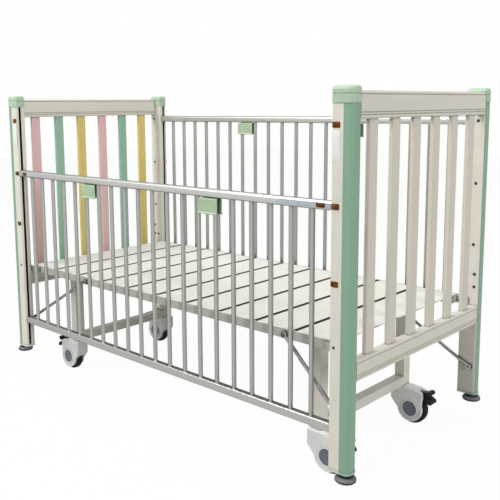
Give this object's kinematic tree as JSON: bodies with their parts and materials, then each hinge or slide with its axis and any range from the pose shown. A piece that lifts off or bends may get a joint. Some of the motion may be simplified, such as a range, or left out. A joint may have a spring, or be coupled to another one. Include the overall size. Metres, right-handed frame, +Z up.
{
  "type": "pediatric hospital cot",
  "caption": "Pediatric hospital cot on swivel castors, with slatted end boards, a planked deck and side rails that latch in slotted corner posts.",
  "frame": {"origin": "on the floor, under the middle of the cot", "axes": "+X towards the foot end, -Y towards the near side whose rail is lowered, +Z up"},
  "size_m": [1.732, 0.855, 1.184],
  "materials": {
    "post_beige": "satin powder coat",
    "board_beige": "satin",
    "trim_mint": "satin",
    "cap_mint": "satin",
    "slat_pink": "satin",
    "slat_green": "satin",
    "slat_yellow": "satin",
    "deck_ivory": "satin",
    "deck_grey": "satin",
    "underframe_beige": "satin",
    "stay_chrome": "polished",
    "housing_grey": "satin",
    "wheel_dark": "matte",
    "pedal_black": "satin",
    "foot_dark": "matte",
    "rail_aluminium": "satin anodised",
    "bolt_steel": "polished"
  },
  "bodies": {
    "frame": {"post_head_front": "post_beige", "trim_head_front": "trim_mint", "cap_head_front": "cap_mint", "plug_head_front": "board_beige", "foot_head_front": "foot_dark", "post_head_back": "post_beige", "trim_head_back": "trim_mint", "cap_head_back": "cap_mint", "plug_head_back": "board_beige", "foot_head_back": "foot_dark", "post_foot_front": "post_beige", "trim_foot_front": "trim_mint", "cap_foot_front": "cap_mint", "plug_foot_front": "board_beige", "foot_foot_front": "foot_dark", "post_foot_back": "post_beige", "trim_foot_back": "trim_mint", "cap_foot_back": "cap_mint", "plug_foot_back": "board_beige", "foot_foot_back": "foot_dark", "head_top_rail": "board_beige", "head_bottom_rail": "board_beige", "foot_top_rail": "board_beige", "head_slat_1": "slat_pink", "head_slat_2": "slat_green", "head_slat_3": "slat_yellow", "head_slat_4": "slat_pink", "head_slat_5": "slat_green", "head_slat_6": "slat_yellow", "foot_bottom_rail_and_slats": "board_beige", "deck_frame": "deck_grey", "deck_panel": "deck_ivory", "underframe_head": "underframe_beige", "underframe_foot": "underframe_beige", "stay_head_front": "stay_chrome", "stay_head_back": "stay_chrome", "stay_foot_front": "stay_chrome", "stay_foot_back": "stay_chrome"},
    "castor_housing_head_front": {"castor_housing_head_front": "housing_grey"},
    "castor_wheel_head_front": {"castor_wheel_head_front": "wheel_dark"},
    "castor_pedal_head_front": {"castor_pedal_head_front": "pedal_black"},
    "castor_housing_head_back": {"castor_housing_head_back": "housing_grey"},
    "castor_wheel_head_back": {"castor_wheel_head_back": "wheel_dark"},
    "castor_pedal_head_back": {"castor_pedal_head_back": "pedal_black"},
    "castor_housing_foot_front": {"castor_housing_foot_front": "housing_grey"},
    "castor_wheel_foot_front": {"castor_wheel_foot_front": "wheel_dark"},
    "castor_pedal_foot_front": {"castor_pedal_foot_front": "pedal_black"},
    "castor_housing_foot_back": {"castor_housing_foot_back": "housing_grey"},
    "castor_wheel_foot_back": {"castor_wheel_foot_back": "wheel_dark"},
    "castor_pedal_foot_back": {"castor_pedal_foot_back": "pedal_black"},
    "rail_front": {"rail_front": "rail_aluminium"},
    "latch_bolt_front_head": {"latch_bolt_front_head": "bolt_steel"},
    "latch_handle_front_head": {"latch_handle_front_head": "cap_mint"},
    "latch_bolt_front_foot": {"latch_bolt_front_foot": "bolt_steel"},
    "latch_handle_front_foot": {"latch_handle_front_foot": "cap_mint"},
    "rail_back": {"rail_back": "rail_aluminium"},
    "latch_bolt_back_head": {"latch_bolt_back_head": "bolt_steel"},
    "latch_handle_back_head": {"latch_handle_back_head": "cap_mint"},
    "latch_bolt_back_foot": {"latch_bolt_back_foot": "bolt_steel"},
    "latch_handle_back_foot": {"latch_handle_back_foot": "cap_mint"}
  },
  "joints": [
    {"name": "castor_swivel_head_front", "type": "hinge", "parent": "frame", "child": "castor_housing_head_front", "pos_m": [-0.639, -0.252, 0.1], "axis": [0, 0, 1], "continuous": true},
    {"name": "castor_roll_head_front", "type": "hinge", "parent": "castor_housing_head_front", "child": "castor_wheel_head_front", "pos_m": [-0.6845, -0.252, 0.05722], "axis": [0, 1, 0], "continuous": true},
    {"name": "castor_brake_head_front", "type": "hinge", "parent": "castor_housing_head_front", "child": "castor_pedal_head_front", "pos_m": [-0.7225, -0.252, 0.11522], "axis": [0, -1, 0], "range_deg": [0, 15]},
    {"name": "castor_swivel_head_back", "type": "hinge", "parent": "frame", "child": "castor_housing_head_back", "pos_m": [-0.639, 0.252, 0.1], "axis": [0, 0, 1], "continuous": true},
    {"name": "castor_roll_head_back", "type": "hinge", "parent": "castor_housing_head_back", "child": "castor_wheel_head_back", "pos_m": [-0.6845, 0.252, 0.05722], "axis": [0, 1, 0], "continuous": true},
    {"name": "castor_brake_head_back", "type": "hinge", "parent": "castor_housing_head_back", "child": "castor_pedal_head_back", "pos_m": [-0.7225, 0.252, 0.11522], "axis": [0, -1, 0], "range_deg": [0, 15]},
    {"name": "castor_swivel_foot_front", "type": "hinge", "parent": "frame", "child": "castor_housing_foot_front", "pos_m": [0.639, -0.252, 0.1], "axis": [0, 0, 1], "continuous": true},
    {"name": "castor_roll_foot_front", "type": "hinge", "parent": "castor_housing_foot_front", "child": "castor_wheel_foot_front", "pos_m": [0.6845, -0.252, 0.05722], "axis": [0, 1, 0], "continuous": true},
    {"name": "castor_brake_foot_front", "type": "hinge", "parent": "castor_housing_foot_front", "child": "castor_pedal_foot_front", "pos_m": [0.7225, -0.252, 0.11522], "axis": [0, 1, 0], "range_deg": [0, 15]},
    {"name": "castor_swivel_foot_back", "type": "hinge", "parent": "frame", "child": "castor_housing_foot_back", "pos_m": [0.639, 0.252, 0.1], "axis": [0, 0, 1], "continuous": true},
    {"name": "castor_roll_foot_back", "type": "hinge", "parent": "castor_housing_foot_back", "child": "castor_wheel_foot_back", "pos_m": [0.6845, 0.252, 0.05722], "axis": [0, 1, 0], "continuous": true},
    {"name": "castor_brake_foot_back", "type": "hinge", "parent": "castor_housing_foot_back", "child": "castor_pedal_foot_back", "pos_m": [0.7225, 0.252, 0.11522], "axis": [0, 1, 0], "range_deg": [0, 15]},
    {"name": "rail_front_slide", "type": "slide", "parent": "frame", "child": "rail_front", "axis": [0, 0, 1], "range_m": [-0.213, 0.213]},
    {"name": "latch_handle_front_head_slide", "type": "slide", "parent": "rail_front", "child": "latch_handle_front_head", "axis": [1, 0, 0], "range_m": [0, 0.014], "stiffness_N_per_m": 200},
    {"name": "latch_bolt_front_head_slide", "type": "slide", "parent": "rail_front", "child": "latch_bolt_front_head", "axis": [1, 0, 0], "range_m": [0, 0.014]},
    {"name": "latch_handle_front_foot_slide", "type": "slide", "parent": "rail_front", "child": "latch_handle_front_foot", "axis": [-1, 0, 0], "range_m": [0, 0.014], "stiffness_N_per_m": 200},
    {"name": "latch_bolt_front_foot_slide", "type": "slide", "parent": "rail_front", "child": "latch_bolt_front_foot", "axis": [-1, 0, 0], "range_m": [0, 0.014]},
    {"name": "rail_back_slide", "type": "slide", "parent": "frame", "child": "rail_back", "axis": [0, 0, 1], "range_m": [-0.426, 0]},
    {"name": "latch_handle_back_head_slide", "type": "slide", "parent": "rail_back", "child": "latch_handle_back_head", "axis": [1, 0, 0], "range_m": [0, 0.014], "stiffness_N_per_m": 200},
    {"name": "latch_bolt_back_head_slide", "type": "slide", "parent": "rail_back", "child": "latch_bolt_back_head", "axis": [1, 0, 0], "range_m": [0, 0.014]},
    {"name": "latch_handle_back_foot_slide", "type": "slide", "parent": "rail_back", "child": "latch_handle_back_foot", "axis": [-1, 0, 0], "range_m": [0, 0.014], "stiffness_N_per_m": 200},
    {"name": "latch_bolt_back_foot_slide", "type": "slide", "parent": "rail_back", "child": "latch_bolt_back_foot", "axis": [-1, 0, 0], "range_m": [0, 0.014]}
  ],
  "couplings": [
    {"joint": "latch_bolt_front_head_slide", "follows": "latch_handle_front_head_slide", "ratio": 1},
    {"joint": "latch_bolt_front_foot_slide", "follows": "latch_handle_front_foot_slide", "ratio": 1},
    {"joint": "latch_bolt_back_head_slide", "follows": "latch_handle_back_head_slide", "ratio": 1},
    {"joint": "latch_bolt_back_foot_slide", "follows": "latch_handle_back_foot_slide", "ratio": 1}
  ]
}
